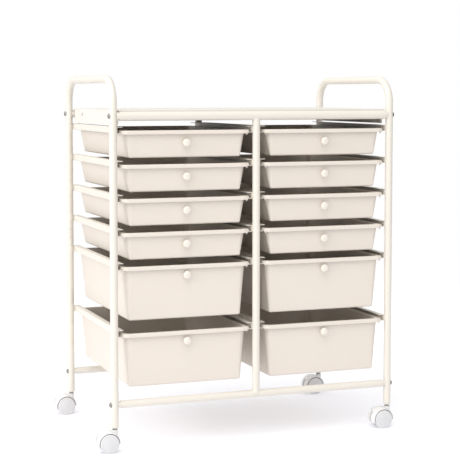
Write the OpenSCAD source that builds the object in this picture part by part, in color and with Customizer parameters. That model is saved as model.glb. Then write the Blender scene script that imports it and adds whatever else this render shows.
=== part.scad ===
/* Rolling drawer cart: a round-tube steel frame on four twin-wheel casters, with two columns of
   moulded drawers that ride in sheet-metal channels under a moulded top shelf.
   Millimetres, +Z up. The origin is on the floor, under the middle of the whole cart. */

/* [Frame] */
// Width over the outside of the corner posts
frame_w = 635; // [560:1:760]
// Depth over the outside of the corner posts
frame_d = 383; // [340:1:460]
// Outer diameter of the posts and the handles
post_d = 16; // [14:0.5:20]
// Wall of every steel tube
tube_wall = 1.2; // [0.8:0.1:1.6]
// Outer diameter of the top bars
top_bar_d = 19; // [17:0.5:22]
// Outer diameter of the bottom bars
bottom_bar_d = 16; // [14:0.5:20]
// Free length of post between a socket and the bottom bars' bolts
bolt_over_socket = 12; // [2:1:50]
// Diameter of the drain hole under the right end of each top bar
drain_hole_d = 9; // [5:0.5:10]
// Distance of the drain hole from the right post's axis
drain_hole_in = 26; // [24:1:60]

/* [Handles] */
// Height of the handle bar's axis above the tops of the posts
handle_rise = 54; // [52:1:90]
// Bend radius of the handle's corners, on the tube's axis
handle_bend_r = 50; // [30:1:50]
// Length of the swaged end inside the post
handle_plug_l = 16; // [10:1:40]
// Free length of post between the swaged end and the top bars' bolts
plug_over_bolt = 2; // [1:0.5:8]
// Length of the swage above the joint
swage_l = 2; // [1:0.5:3]

/* [Bar joints] */
// Width of a saddle between its post and the end of its bar
saddle_w = 5; // [4:0.5:8]
// How much less the saddle measures across than its bar
saddle_step = 3; // [1:0.5:4]
// How far the saddle's cheeks reach back over the round of the post
saddle_wrap = 2; // [1:0.5:3]
// Length of the saddle's plug inside the bar
saddle_plug_l = 14; // [10:1:25]
// Thread diameter of the frame bolts
bolt_d = 6; // [5:0.5:8]
// Distance of a bolt's tip from the end of the saddle's plug
bolt_end_gap = 2; // [0:0.5:5]
// Head diameter of the frame bolts
bolt_head_d = 11; // [9:0.5:13]
// Head height of the frame bolts
bolt_head_h = 2.8; // [2:0.1:3]

/* [Top shelf] */
// Thickness of the shelf's panel
shelf_t = 2; // [1.5:0.1:3]
// Height of the raised edge round the panel
shelf_edge_h = 1; // [0.5:0.1:3]
// Width of the raised edge
shelf_edge_w = 3; // [2:0.5:6]
// Thickness of the skirt under the panel
skirt_t = 2; // [1.5:0.1:3]
// Corner radius of the panel
shelf_corner_r = 5; // [3:0.5:8]
// Gap between the skirt and the bars, and between the panel and the posts
shelf_gap = 1.5; // [0.5:0.1:3]
// Gap between the side skirts' lower edge and the top rails
skirt_gap = 3; // [0.5:0.1:4]
// How much higher the lower edge of the front and the rear skirt is
end_skirt_rise = 11; // [0:0.5:14]
// Depth of the stiffening ribs under the panel
rib_h = 12; // [6:1:20]
// Thickness of the ribs
rib_t = 1.8; // [1.2:0.1:3]
// Number of ribs that run front to back
cross_ribs = 5; // [1:1:9]
// Number of ribs that run side to side
long_ribs = 2; // [1:1:4]
// Diameter of the hole near the rear end of each side skirt
skirt_hole_d = 8; // [4:0.5:12]
// Distance of that hole from the rear bar's axis
skirt_hole_in = 82; // [40:1:120]

/* [Rails] */
// Sheet thickness of the channels
rail_t = 1.2; // [1:0.1:1.6]
// Height of a channel
rail_h = 14; // [12:0.5:16]
// Width of a channel's flanges
rail_flange = 12; // [10:0.5:14]
// Bend radius on the outside of a channel
rail_bend_r = 2; // [1.7:0.1:3]
// Distance of each end of a rail from the post's axis
rail_end_in = 0.5; // [0:0.1:4]

/* [Drawers] */
// Height of a small drawer, rim included
small_h = 56; // [45:1:80]
// Height of a large drawer, rim included
large_h = 112; // [85:1:160]
// Gap under a small drawer, down to the rim of the next one
small_gap = 13.3; // [10:0.1:30]
// Gap under a large drawer, down to the rim of the next one
large_gap = 25; // [10:0.5:40]
// Gap between the bottom bars and the lowest drawers
bottom_gap = 24.5; // [10:0.5:60]
// Gap between the top drawers' rims and the underside of the top bars
top_gap = 19.5; // [17:0.5:40]
// Thickness of the rim
rim_t = 5; // [4:0.5:7]
// Width of the rim at each side, where it rides in the rail
rim_side = 8; // [7:0.5:13]
// Width of the rim at the front and at the rear
rim_front = 5.5; // [4:0.5:8]
// Free space between the rim and the web of each rail
rim_side_gap = 4.5; // [2:0.5:6]
// How far the rim stands out past the posts' axis, at the front and at the rear
rim_overhang = 6.5; // [6.5:0.5:10]
// Height of the lip across the front
front_lip_h = 8; // [6:0.5:12]
// Corner radius of the rim
rim_corner_r = 16; // [10:1:24]
// Corner radius of the bin under the rim
bin_corner_r = 16; // [10:1:24]
// Corner radius at the foot of a small drawer
small_foot_r = 6; // [3:1:12]
// Corner radius at the foot of a large drawer
large_foot_r = 10; // [3:1:12]
// Thickness of the bin's walls and floor
bin_wall = 2.2; // [1.5:0.1:3]
// Round along the bin's lower edge
bin_edge_r = 4; // [3:0.5:7]
// Inward slope of a small drawer's side, over its whole height
small_side_draft = 12.5; // [3:0.5:16]
// Inward slope of a large drawer's side, over its whole height
large_side_draft = 11; // [3:0.5:18]
// Inward slope of a small drawer's front and back, over their whole height
small_front_draft = 4.5; // [1:0.5:8]
// Inward slope of a large drawer's front and back, over their whole height
large_front_draft = 7; // [1:0.5:12]
// Drop of the gussets under the front corners of the rim
gusset_h = 6.5; // [4:0.5:9]
// Thickness of the gussets
gusset_t = 3; // [2:0.5:4]
// Distance of a gusset's outer end from the side of the rim
gusset_in = 2; // [1:0.5:4]

/* [Knobs] */
// Diameter of a knob's head
knob_d = 17; // [13:0.5:22]
// Diameter of a knob's neck
knob_neck_d = 10; // [8:0.5:12]
// Length of the neck
knob_neck_l = 5; // [3:0.5:9]
// Thickness of the head at its edge
knob_edge_h = 5.6; // [4:0.2:7]
// Height of the dome on the head
knob_dome_h = 2.4; // [1:0.1:4]
// Drop of the knob's axis below a small drawer's rim
small_knob_drop = 25.3; // [20:0.1:34]
// Drop of the knob's axis below a large drawer's rim
large_knob_drop = 20.5; // [18:0.1:40]
// Thread diameter of the knob screws
screw_d = 3.5; // [3:0.5:5]
// Head diameter of the knob screws
screw_head_d = 7; // [6:0.5:10]
// Head height of the knob screws
screw_head_h = 2.2; // [1.5:0.1:3]
// Depth of the screw in the knob
screw_bite = 8; // [5:0.5:9]

/* [Casters] */
// Diameter of a wheel
wheel_d = 40; // [36:1:50]
// Width of a wheel's tread
wheel_w = 11; // [8:0.5:14]
// Height of the dome on a wheel's outer face
wheel_dome_h = 2; // [1:0.1:3]
// Wall of a wheel's rim and face
wheel_wall = 3; // [2:0.1:4]
// Diameter of a wheel's hub
hub_d = 12; // [9:0.5:14]
// Diameter of the axle
axle_d = 4; // [3:0.5:5]
// Distance of the axle behind the swivel axis
caster_trail = 15; // [14:0.5:20]
// Thickness of the hood over the middle of the caster
hood_mid_t = 4; // [3:0.1:7]
// Thickness of the hood at its edges
hood_edge_t = 1.5; // [1:0.1:3]
// How far the hood's front end reaches below the axle, in degrees
hood_front_drop = 4; // [0:1:12]
// How far the hood's rear end reaches below the axle, in degrees
hood_rear_drop = 20; // [0:1:25]
// Width of the slot down the rear of the hood
slot_w = 7; // [2:0.5:8]
// Angle of the slot's upper end above the axle, in degrees
slot_rise = 38; // [20:1:60]
// Thickness of the web between the wheels
web_t = 11; // [6:0.5:12]
// Diameter of the boss that holds the stem
stem_boss_d = 13; // [12:0.5:14]
// Height of the boss above the axle
stem_boss_rise = 24; // [22:0.5:30]
// Diameter of the steel stem
stem_d = 8; // [6:0.5:9]
// Length of the stem inside the boss
stem_in_boss = 20; // [12:0.5:20]
// Length of the stem that shows under the post
stem_show = 6; // [4:0.5:10]
// Diameter of the stem's collar, which shows under the post
stem_collar_d = 10; // [9.5:0.1:11]
// Depth of the socket's free space above the stem
stem_end_gap = 4; // [1:0.5:8]
// Thickness of the socket's flange under the post
socket_flange_t = 2; // [1:0.5:4]
// Length of the socket inside the post
socket_l = 30; // [20:1:45]

/* [Clearances] */
// Radial clearance of a joint that turns
turn_clear = 0.05; // [0.02:0.01:0.1]
// Clearance of a joint that is plugged or screwed together
plug_clear = 0.1; // [0.05:0.01:0.2]
// Clearance between a drawer's rim and the rail that carries it
slide_clear = 0.3; // [0.2:0.05:0.5]
// Clearance round the wheels, under the hood and beside the web
wheel_clear = 1.5; // [0.5:0.1:2]

/* [Hidden] */
$fn = 48;
cut = 0.5;                    // how far a cut runs past the face that it opens
levels = 6;
small_levels = 4;
sides = [-1, 1];
ends = [-1, 1];
cream = "#ECE4D6";
bin_cream = "#EFE6DA";
knob_white = "#F4EFE6";
caster_white = "#ECEAE6";
wheel_grey = "#D9D7D3";
steel = "#8F8C88";
socket_grey = "#C9C4BA";

// Heights, from the floor up
axle_z = wheel_d / 2;
hood_in_r = wheel_d / 2 + wheel_clear;
hood_r = hood_in_r + hood_mid_t;
boss_top_z = axle_z + stem_boss_rise;
post_bottom_z = boss_top_z + stem_show + socket_flange_t;
bottom_bar_z = post_bottom_z + socket_l + bolt_over_socket + bolt_d / 2;
lowest_rim_z = bottom_bar_z + bottom_bar_d / 2 + bottom_gap + large_h;
function is_small(level) = level <= small_levels;
function drawer_h(level) = is_small(level) ? small_h : large_h;
function pitch(level) = drawer_h(level) + (is_small(level) ? small_gap : large_gap);
function rim_z(level) = level == levels ? lowest_rim_z : rim_z(level + 1) + pitch(level);
top_bar_z = rim_z(1) + top_gap + top_bar_d / 2;
post_top_z = top_bar_z + bolt_d / 2 + plug_over_bolt + handle_plug_l;
handle_z = post_top_z + handle_rise;

// Places on the floor plan
post_r = post_d / 2;
post_bore_r = post_r - tube_wall;
bay_w = (frame_w - post_d) / 2;
post_y = (frame_d - post_d) / 2;
right_reach = max(hood_r - caster_trail, post_r + bolt_head_h);
middle_x = (caster_trail + hood_r - right_reach) / 2;
function post_x(place) = middle_x + place * bay_w;
function bay_x(side) = middle_x + side * bay_w / 2;

// Drawers
rim_w = bay_w - post_d - 2 * (rail_t + rim_side_gap);
rim_y0 = -post_y - rim_overhang;
rim_y1 = post_y + rim_overhang;
bin_w = rim_w - 2 * rim_side;
bin_y0 = rim_y0 + rim_front;
bin_y1 = rim_y1 - rim_front;
function side_draft(level) = is_small(level) ? small_side_draft : large_side_draft;
function front_draft(level) = is_small(level) ? small_front_draft : large_front_draft;
function foot_r(level) = is_small(level) ? small_foot_r : large_foot_r;
function knob_drop(level) = is_small(level) ? small_knob_drop : large_knob_drop;
function face_tilt(level) = atan(front_draft(level) / drawer_h(level));
function face_y(level, drop) = bin_y0 + front_draft(level) * drop / drawer_h(level);

// Rails
function rail_z(level) = rim_z(level) - rim_t - slide_clear - rail_t;
rail_y = post_y - rail_end_in;

// Shelf
shelf_z = top_bar_z + top_bar_d / 2 + plug_clear;
shelf_w = frame_w - 2 * (post_d + shelf_gap);
skirt_y = post_y - top_bar_d / 2 - shelf_gap;
skirt_z = rail_z(1) + rail_h + skirt_gap;

// Saddles and bolts
bar_half = bay_w - post_r - saddle_w;
bolt_l = post_d + saddle_w + saddle_plug_l - bolt_end_gap;

// Casters
boss_half = stem_boss_d / 2;
wheel_in = boss_half + wheel_clear / 2;
wheel_out = wheel_in + wheel_w;
hood_half = wheel_out - wheel_clear;
axle_half = wheel_out - wheel_wall;
crown_r = (pow(hood_half, 2) + pow(hood_mid_t - hood_edge_t, 2)) / (2 * (hood_mid_t - hood_edge_t));
corners = [[-1, -1], [1, -1], [-1, 1], [1, 1]];
corner_names = ["left_front", "right_front", "left_back", "right_back"];
side_names = ["left", "right"];

// Shared shapes
module along_x() { rotate([0, 90, 0]) children(); }
module along_y() { rotate([-90, 0, 0]) children(); }
module ring(outer_r, inner_r) {
    difference() {
        circle(r = outer_r);
        circle(r = inner_r);
    }
}
module rounded_rect(w, d, r) {
    square([w - 2 * r, d], center = true);
    square([w, d - 2 * r], center = true);
    for (x = ends, y = ends)
        translate([x * (w / 2 - r), y * (d / 2 - r)]) circle(r = r);
}

// Upright tube between a caster and a handle, drilled for the two bar bolts
module corner_post(corner) {
    color(cream)
    translate([post_x(corner[0]), corner[1] * post_y, 0])
    difference() {
        translate([0, 0, post_bottom_z])
            linear_extrude(post_top_z - post_bottom_z) ring(post_r, post_bore_r);
        for (z = [bottom_bar_z, top_bar_z])
            translate([-post_r - cut, 0, z])
                along_x() cylinder(d = bolt_d + 4 * plug_clear, h = post_d + 2 * cut);
    }
}

// Upright tube between the drawer columns, its ends coped round the two bars
module center_post(end) {
    color(cream)
    translate([post_x(0), end * post_y, 0])
    difference() {
        translate([0, 0, bottom_bar_z])
            linear_extrude(top_bar_z - bottom_bar_z) ring(post_r, post_bore_r);
        translate([-post_d, 0, bottom_bar_z])
            along_x() cylinder(r = bottom_bar_d / 2 + plug_clear, h = 2 * post_d);
        translate([-post_d, 0, top_bar_z])
            along_x() cylinder(r = top_bar_d / 2 + plug_clear, h = 2 * post_d);
    }
}

// Bent tube whose swaged ends plug into the tops of two posts
module handle(side) {
    leg_l = handle_rise - handle_bend_r;
    bar_l = 2 * (post_y - handle_bend_r);
    plug_r = post_bore_r - plug_clear;
    color(cream)
    translate([post_x(side), 0, 0])
    union() {
        translate([0, -bar_l / 2, handle_z])
            along_y() linear_extrude(bar_l) ring(post_r, post_bore_r);
        for (end = ends)
            scale([1, end, 1]) {
                translate([0, post_y - handle_bend_r, handle_z - handle_bend_r])
                    rotate([90, 0, 90]) rotate_extrude(angle = 90)
                        translate([handle_bend_r, 0]) ring(post_r, post_bore_r);
                translate([0, post_y, post_top_z + swage_l])
                    linear_extrude(leg_l - swage_l) ring(post_r, post_bore_r);
                translate([0, post_y, post_top_z])
                    linear_extrude(swage_l) ring(post_r, plug_r - tube_wall);
                translate([0, post_y, post_top_z - handle_plug_l])
                    linear_extrude(handle_plug_l) ring(plug_r, plug_r - tube_wall);
            }
    }
}

// Rolled channel that carries one edge of one drawer. Its web is on the post and it opens to +X
module rail() {
    rotate([90, 0, 0])
        translate([0, 0, -rail_y])
        linear_extrude(2 * rail_y)
        intersection() {
            translate([rail_flange, rail_h / 2])
                difference() {
                    rounded_rect(2 * rail_flange, rail_h, rail_bend_r);
                    rounded_rect(2 * (rail_flange - rail_t), rail_h - 2 * rail_t, rail_bend_r - rail_t);
                }
            square([rail_flange, rail_h]);
        }
}
module rails(place, facings) {
    color(cream)
    for (facing = facings, level = [1:levels])
        translate([post_x(place) + facing * post_r, 0, rail_z(level)])
            scale([facing, 1, 1]) rail();
}

// Round bars that join the side frames at the front and the rear
module bar(d, end, z, drained) {
    color(cream)
    translate([post_x(0), end * post_y, z])
    difference() {
        translate([-bar_half, 0, 0])
            along_x() linear_extrude(2 * bar_half) ring(d / 2, d / 2 - tube_wall);
        if (drained)
            translate([bay_w - drain_hole_in, 0, -d / 2 - cut])
                cylinder(d = drain_hole_d, h = d / 2);
    }
}
module top_bar(end) { bar(top_bar_d, end, top_bar_z, true); }
module bottom_bar(end) { bar(bottom_bar_d, end, bottom_bar_z, false); }

// Moulded saddle that seats a bar on its round post and plugs its end
module saddle(d) {
    seat_r = post_r + plug_clear;
    difference() {
        union() {
            translate([post_r - saddle_wrap, 0, 0])
                along_x() cylinder(d = d - saddle_step, h = saddle_w + saddle_wrap);
            translate([post_r + saddle_w - cut, 0, 0])
                along_x() cylinder(r = d / 2 - tube_wall - plug_clear, h = saddle_plug_l + cut);
        }
        translate([0, 0, -d]) cylinder(r = seat_r, h = 2 * d);
        along_x() cylinder(r = bolt_d / 2 + plug_clear / 2, h = post_d + saddle_w + saddle_plug_l);
    }
}
module at_bar_ends() {
    for (side = sides, end = ends, high = [0, 1])
        translate([post_x(side), end * post_y, high ? top_bar_z : bottom_bar_z])
            scale([-side, 1, 1])
            let ($bar_d = high ? top_bar_d : bottom_bar_d) children();
}
module bar_saddles() {
    color(socket_grey) at_bar_ends() saddle($bar_d);
}

// Button-head bolt through the post and the saddle
module frame_bolt() {
    dome_r = (pow(bolt_head_d / 2, 2) + pow(bolt_head_h, 2)) / (2 * bolt_head_h);
    translate([-post_r, 0, 0]) {
        along_x() cylinder(d = bolt_d, h = bolt_l);
        intersection() {
            translate([dome_r - bolt_head_h, 0, 0]) sphere(r = dome_r, $fn = 64);
            translate([-bolt_head_h, 0, 0]) along_x() cylinder(r = bolt_head_d, h = bolt_head_h);
        }
    }
}
module frame_bolts() {
    color(steel) at_bar_ends() frame_bolt();
}

// Moulded shelf: a panel over the bars, with a skirt that hangs between them and ribs beneath
module top_shelf() {
    inner_w = shelf_w - 2 * skirt_t;
    inner_d = 2 * (skirt_y - skirt_t);
    panel_d = 2 * post_y;
    color(cream)
    translate([post_x(0), 0, 0])
    union() {
        translate([0, 0, shelf_z])
            linear_extrude(shelf_t) rounded_rect(shelf_w, panel_d, shelf_corner_r);
        translate([0, 0, shelf_z + shelf_t])
            linear_extrude(shelf_edge_h)
            difference() {
                rounded_rect(shelf_w, panel_d, shelf_corner_r);
                rounded_rect(shelf_w - 2 * shelf_edge_w, panel_d - 2 * shelf_edge_w,
                             shelf_corner_r - shelf_edge_w / 2);
            }
        difference() {
            translate([0, 0, skirt_z])
                linear_extrude(shelf_z - skirt_z)
                difference() {
                    rounded_rect(shelf_w, 2 * skirt_y, shelf_corner_r);
                    rounded_rect(inner_w, inner_d, shelf_corner_r - skirt_t);
                }
            translate([-shelf_w, post_y - skirt_hole_in, top_bar_z])
                along_x() cylinder(d = skirt_hole_d, h = 2 * shelf_w);
            translate([-inner_w / 2, -post_y, skirt_z - cut])
                cube([inner_w, 2 * post_y, end_skirt_rise + cut]);
        }
        for (i = [1:cross_ribs])
            translate([inner_w * (i / (cross_ribs + 1) - 0.5), 0, shelf_z - rib_h / 2])
                cube([rib_t, inner_d, rib_h], center = true);
        for (i = [1:long_ribs])
            translate([0, inner_d * (i / (long_ribs + 1) - 0.5), shelf_z - rib_h / 2])
                cube([inner_w, rib_t, rib_h], center = true);
    }
}

// Solid bin, drawn in all round by an inset. Its four sides have draft, and its corners grow tighter downwards
module bin_block(level, inset, floor_z, top_z) {
    edge = max(bin_edge_r - inset, 1);
    bevel = edge * (1 - cos(45));
    // Each ring is a height and how far its outline is drawn in by the round of the lower edge
    rings = [[top_z, 0], [floor_z + edge, 0], [floor_z + bevel, bevel], [floor_z, edge]];
    hull()
        for (ring = rings, x = ends, y = ends) {
            share = (drawer_h(level) - ring[0]) / drawer_h(level);
            r = max(bin_corner_r + (foot_r(level) - bin_corner_r) * share - inset, 1);
            dx = inset + side_draft(level) * share + ring[1];
            dy = inset + front_draft(level) * share + ring[1];
            translate([x * (bin_w / 2 - dx - r),
                       (y < 0 ? bin_y0 + dy + r : bin_y1 - dy - r), ring[0]])
                cylinder(r = r, h = 0.01, $fn = 24);
        }
}
module rim_outline() {
    translate([0, (rim_y0 + rim_y1) / 2]) rounded_rect(rim_w, rim_y1 - rim_y0, rim_corner_r);
}
module gusset() {
    root_x = bin_w / 2 - bin_wall;
    tip_x = rim_w / 2 - gusset_in;
    points = [[root_x, -gusset_h], [bin_w / 2, -gusset_h], [tip_x, 0], [tip_x, cut], [root_x, cut]];
    translate([0, bin_y0 - cut, 0]) rotate([90, 0, 0]) linear_extrude(gusset_t) polygon(points);
}
module drawer(side, level) {
    h = drawer_h(level);
    drop = knob_drop(level);
    color(bin_cream)
    translate([bay_x(side), 0, rim_z(level) - h])
    difference() {
        union() {
            bin_block(level, 0, 0, h - cut);
            translate([0, 0, h - rim_t]) linear_extrude(rim_t) rim_outline();
            intersection() {
                translate([0, 0, h - front_lip_h]) linear_extrude(front_lip_h) rim_outline();
                translate([-rim_w, rim_y0 - cut, 0]) cube([2 * rim_w, rim_front + cut + bin_wall / 2, h]);
            }
            for (x = ends)
                scale([x, 1, 1]) translate([0, 0, h - rim_t]) gusset();
        }
        bin_block(level, bin_wall, bin_wall, h + cut);
        translate([0, face_y(level, drop), h - drop])
            rotate([90 + face_tilt(level), 0, 0])
            translate([0, 0, -3 * bin_wall]) cylinder(d = screw_d + 2 * plug_clear, h = 6 * bin_wall);
    }
}

// Turned knob on the drawer's face, with the screw that holds it from inside
module knob_shape() {
    edge_r = knob_edge_h / 2;
    flat_r = knob_d / 2 - edge_r;
    dome_r = (pow(flat_r, 2) + pow(knob_dome_h - 1, 2)) / (2 * (knob_dome_h - 1));
    head_z = knob_neck_l + knob_edge_h;
    rotate_extrude()
        intersection() {
            union() {
                square([knob_neck_d / 2, head_z]);
                translate([0, knob_neck_l]) square([flat_r, knob_edge_h]);
                translate([flat_r, knob_neck_l + edge_r]) circle(r = edge_r);
                intersection() {
                    translate([0, head_z + knob_dome_h - 1 - dome_r]) circle(r = dome_r, $fn = 96);
                    translate([0, head_z - 1]) square([flat_r, knob_dome_h + 1]);
                }
            }
            square([knob_d, head_z + knob_dome_h]);
        }
}
module knob(side, level) {
    drop = knob_drop(level);
    seat = bin_wall * cos(face_tilt(level));
    translate([bay_x(side), face_y(level, drop), rim_z(level) - drop])
    rotate([90 + face_tilt(level), 0, 0]) {
        color(knob_white)
        difference() {
            translate([0, 0, plug_clear]) knob_shape();
            cylinder(r = screw_d / 2 + plug_clear / 2, h = screw_bite + cut);
        }
        color(steel)
        union() {
            translate([0, 0, -seat - plug_clear]) cylinder(d = screw_d, h = seat + plug_clear + screw_bite);
            translate([0, 0, -seat - plug_clear - screw_head_h]) cylinder(d = screw_head_d, h = screw_head_h);
        }
    }
}

// Places a shape on one corner's swivel axis
module at_corner(corner) {
    translate([post_x(corner[0]), corner[1] * post_y, 0]) children();
}

// Hood and fork of a caster in one moulding, crowned over the wheels and slotted at the rear
module caster_hood(corner) {
    arc = 180 + hood_front_drop + hood_rear_drop;
    color(caster_white)
    at_corner(corner)
    difference() {
        union() {
            translate([-caster_trail, 0, axle_z]) rotate([90, 0, 0]) {
                rotate([0, 0, -hood_front_drop]) rotate_extrude(angle = arc)
                    intersection() {
                        translate([hood_r - crown_r, 0]) circle(r = crown_r, $fn = 96);
                        translate([hood_in_r, -hood_half]) square([hood_mid_t + cut, 2 * hood_half]);
                    }
                rotate([0, 0, -hood_front_drop]) rotate_extrude(angle = arc)
                    translate([0, -web_t / 2]) square([hood_in_r + hood_edge_t, web_t]);
                cylinder(d = hub_d, h = 2 * boss_half, center = true);
            }
            translate([0, 0, boss_top_z - stem_in_boss - bin_wall])
                cylinder(d = stem_boss_d, h = stem_in_boss + bin_wall);
        }
        translate([-caster_trail, 0, axle_z]) rotate([90, 0, 0]) {
            cylinder(r = axle_d / 2 + turn_clear, h = 4 * boss_half, center = true);
            rotate([0, 0, 180 - slot_rise]) rotate_extrude(angle = slot_rise + hood_rear_drop + 1)
                translate([hub_d, -slot_w / 2]) square([hood_r, slot_w]);
        }
        translate([0, 0, boss_top_z - stem_in_boss - turn_clear])
            cylinder(r = stem_d / 2 + turn_clear, h = stem_in_boss + cut);
    }
}

// Steel stem: fixed in its socket, with a collar under the post, and the hood turns on its lower end
module caster_stem() {
    low_z = boss_top_z - stem_in_boss + turn_clear;
    high_z = post_bottom_z + socket_l - stem_end_gap;
    translate([0, 0, low_z]) cylinder(d = stem_d, h = high_z - low_z);
    translate([0, 0, boss_top_z + slide_clear])
        cylinder(d = stem_collar_d, h = stem_show - slide_clear - plug_clear);
}
module caster_stems() {
    color(steel) for (corner = corners) at_corner(corner) caster_stem();
}

// Plastic socket in the lower end of a post
module post_socket() {
    bore_r = stem_d / 2 + plug_clear / 2;
    translate([0, 0, post_bottom_z - socket_flange_t])
        linear_extrude(socket_flange_t - plug_clear) ring(post_r, bore_r);
    translate([0, 0, post_bottom_z - plug_clear])
        linear_extrude(socket_l + plug_clear) ring(post_bore_r - plug_clear, bore_r);
}
module post_sockets() {
    color(socket_grey) for (corner = corners) at_corner(corner) post_socket();
}

// Steel pin that both wheels of a caster turn on
module axle(corner) {
    color(steel)
    at_corner(corner) translate([-caster_trail, 0, axle_z])
        rotate([90, 0, 0]) cylinder(d = axle_d, h = 2 * axle_half, center = true);
}

// Cupped wheel with a domed outer face and a blind hub. It faces -Y
module wheel_shape() {
    r = wheel_d / 2;
    round_r = 1.5;
    dome_r = (pow(r - round_r, 2) + pow(wheel_dome_h, 2)) / (2 * wheel_dome_h);
    rotate([90, 0, 0])
    difference() {
        rotate_extrude()
            difference() {
                union() {
                    translate([0, wheel_in]) square([r - round_r, wheel_w]);
                    translate([0, wheel_in + round_r]) square([r, wheel_w - 2 * round_r]);
                    for (z = [wheel_in + round_r, wheel_out - round_r])
                        translate([r - round_r, z]) circle(r = round_r);
                    intersection() {
                        translate([0, wheel_out + wheel_dome_h - dome_r]) circle(r = dome_r, $fn = 96);
                        translate([0, wheel_out - cut]) square([r - round_r, wheel_dome_h + cut]);
                    }
                }
                translate([hub_d / 2, wheel_in - cut])
                    square([r - wheel_wall - hub_d / 2, wheel_w - wheel_wall + cut]);
            }
        cylinder(r = axle_d / 2 + turn_clear, h = axle_half + slide_clear);
    }
}
module wheel(corner, end) {
    color(wheel_grey)
    at_corner(corner) translate([-caster_trail, 0, axle_z]) scale([1, -end, 1]) wheel_shape();
}

// Nodes
for (i = [0:3]) {
    corner_post(corners[i]);
    caster_hood(corners[i]);
    axle(corners[i]);
    wheel(corners[i], corners[i][1]);
    wheel(corners[i], -corners[i][1]);
}
for (i = [0:1], level = [1:levels]) {
    drawer(sides[i], level);
    knob(sides[i], level);
}
center_post(-1);  // center_front_post
center_post(1);  // center_back_post
handle(-1);  // left_handle
handle(1);  // right_handle
rails(-1, [1]);  // left_rails
rails(0, [-1, 1]);  // center_rails
rails(1, [-1]);  // right_rails
top_bar(-1);  // front_top_bar
top_bar(1);  // back_top_bar
bottom_bar(-1);  // front_bottom_bar
bottom_bar(1);  // back_bottom_bar
top_shelf();
bar_saddles();
frame_bolts();
post_sockets();
caster_stems();
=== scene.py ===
import math

import bmesh
import bpy
from bpy.props import FloatProperty, FloatVectorProperty, IntProperty, PointerProperty
from mathutils import Matrix, Vector


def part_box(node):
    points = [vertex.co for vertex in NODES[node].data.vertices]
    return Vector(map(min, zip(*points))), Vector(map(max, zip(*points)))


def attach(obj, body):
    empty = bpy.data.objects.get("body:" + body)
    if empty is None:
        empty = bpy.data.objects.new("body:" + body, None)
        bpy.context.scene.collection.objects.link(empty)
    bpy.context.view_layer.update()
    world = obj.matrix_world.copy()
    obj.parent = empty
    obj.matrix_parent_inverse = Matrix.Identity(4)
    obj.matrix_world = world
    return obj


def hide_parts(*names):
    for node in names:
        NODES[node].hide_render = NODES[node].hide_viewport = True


bl_info = {
    "name": "Rolling Drawer Cart",
    "version": (1, 0, 0),
    "blender": (4, 5, 0),
    "location": "3D View > Sidebar > Cart",
    "description": "Dresses the steel frame of a rolling drawer cart with its moulded and painted parts",
    "category": "Object",
}

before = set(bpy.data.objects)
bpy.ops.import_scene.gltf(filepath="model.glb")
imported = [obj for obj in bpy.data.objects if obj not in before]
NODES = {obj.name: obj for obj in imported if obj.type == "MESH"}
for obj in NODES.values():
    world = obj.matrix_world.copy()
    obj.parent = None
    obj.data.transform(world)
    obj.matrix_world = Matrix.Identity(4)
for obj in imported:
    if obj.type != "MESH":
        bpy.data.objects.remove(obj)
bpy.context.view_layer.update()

SIDES = ("left", "right")
LEVELS = range(1, 7)
CORNERS = ("left_front", "right_front", "left_back", "right_back")
WHEELS = ("outer", "inner")
PAINTED = [corner + "_post" for corner in CORNERS] + [
    "center_front_post", "center_back_post", "left_handle", "right_handle", "left_rails", "center_rails",
    "right_rails", "front_top_bar", "back_top_bar", "front_bottom_bar", "back_bottom_bar"]
# Clearance between a pin and its bore, on the radius, in metres
FIT = 0.00005
# Places of the lights and the camera, the point that the lights face, and the floor's radius, in metres
SOFTBOX_AT = (-0.8, -1.5, 3.0)
SIDE_LIGHT_AT = (-2.8, -0.9, 1.45)
LIGHTS_AIM = Vector((0, 0, 0.4))
CAMERA_AT = (-1.0426, -2.8583, 0.7305)
FLOOR_RADIUS = 6


def linear(code):
    """Turns an sRGB hex colour into linear red, green and blue."""
    parts = [int(code[i:i + 2], 16) / 255 for i in (1, 3, 5)]
    return tuple(c / 12.92 if c <= 0.04045 else ((c + 0.055) / 1.055) ** 2.4 for c in parts)


def length(name, description, metres):
    """A size that a user may change, in metres."""
    return FloatProperty(name=name, description=description, default=metres, min=0, precision=4,
                         subtype="DISTANCE", unit="LENGTH")


def turn(name, description, degrees):
    """An angle that a user may change."""
    return FloatProperty(name=name, description=description, default=math.radians(degrees), min=0,
                         subtype="ANGLE", unit="ROTATION")


def colour(name, description, code):
    """A colour that a user may change, given as its sRGB hex value."""
    return FloatVectorProperty(name=name, description=description, default=linear(code), size=3, min=0, max=1,
                               subtype="COLOR")


# Sizes and colours


class FrameSettings(bpy.types.PropertyGroup):
    paint: colour("Powder coat", "Colour of the coat on the tubes and the rails", "#D9D3C8")
    peel: length("Orange peel", "Distance from crest to crest of the ripple in the powder coat", 0.0016)
    bead: length("Rail bead", "Radius of the weld beads between the rails and the posts", 0.0009)
    bead_long: length("Bead length", "Length of each of those beads", 0.010)
    bead_in: length("Bead place", "Distance of those beads from the post's middle, along the rail", 0.0040)
    seam: length("Seam", "Radius of the weld seams round the ends of the centre posts", 0.0010)


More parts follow.
